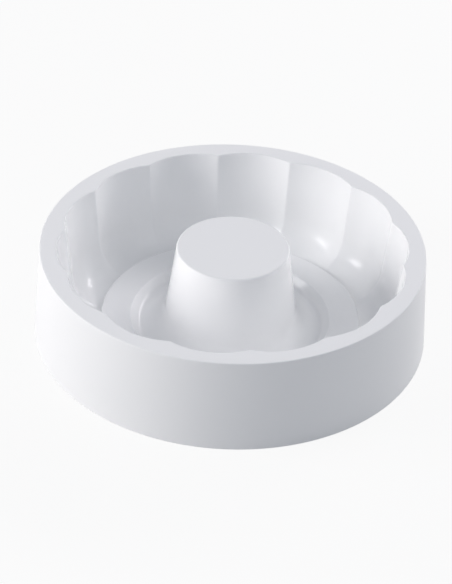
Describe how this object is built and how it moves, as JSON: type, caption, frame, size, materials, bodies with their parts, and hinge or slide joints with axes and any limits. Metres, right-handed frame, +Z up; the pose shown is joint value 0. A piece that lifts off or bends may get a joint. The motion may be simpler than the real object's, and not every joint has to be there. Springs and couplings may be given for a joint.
{
  "type": "ring cake mould",
  "caption": "Soft silicone ring cake mould with a fluted cavity, flat rim, plain outer skirt and hollow centre post.",
  "frame": {"origin": "centre of the foot plane, on the mould's axis under the post", "axes": "+Z up along the mould's axis, towards the open cavity; +X passes through a crease between two flutes"},
  "size_m": [0.206, 0.206, 0.051],
  "materials": {
    "white_silicone": "satin"
  },
  "bodies": {
    "root": {"outer_skirt": "white_silicone", "flat_rim": "white_silicone", "fluted_wall": "white_silicone", "raised_ring": "white_silicone", "flared_foot": "white_silicone", "post_wall": "white_silicone", "post_cap": "white_silicone"}
  },
  "joints": []
}
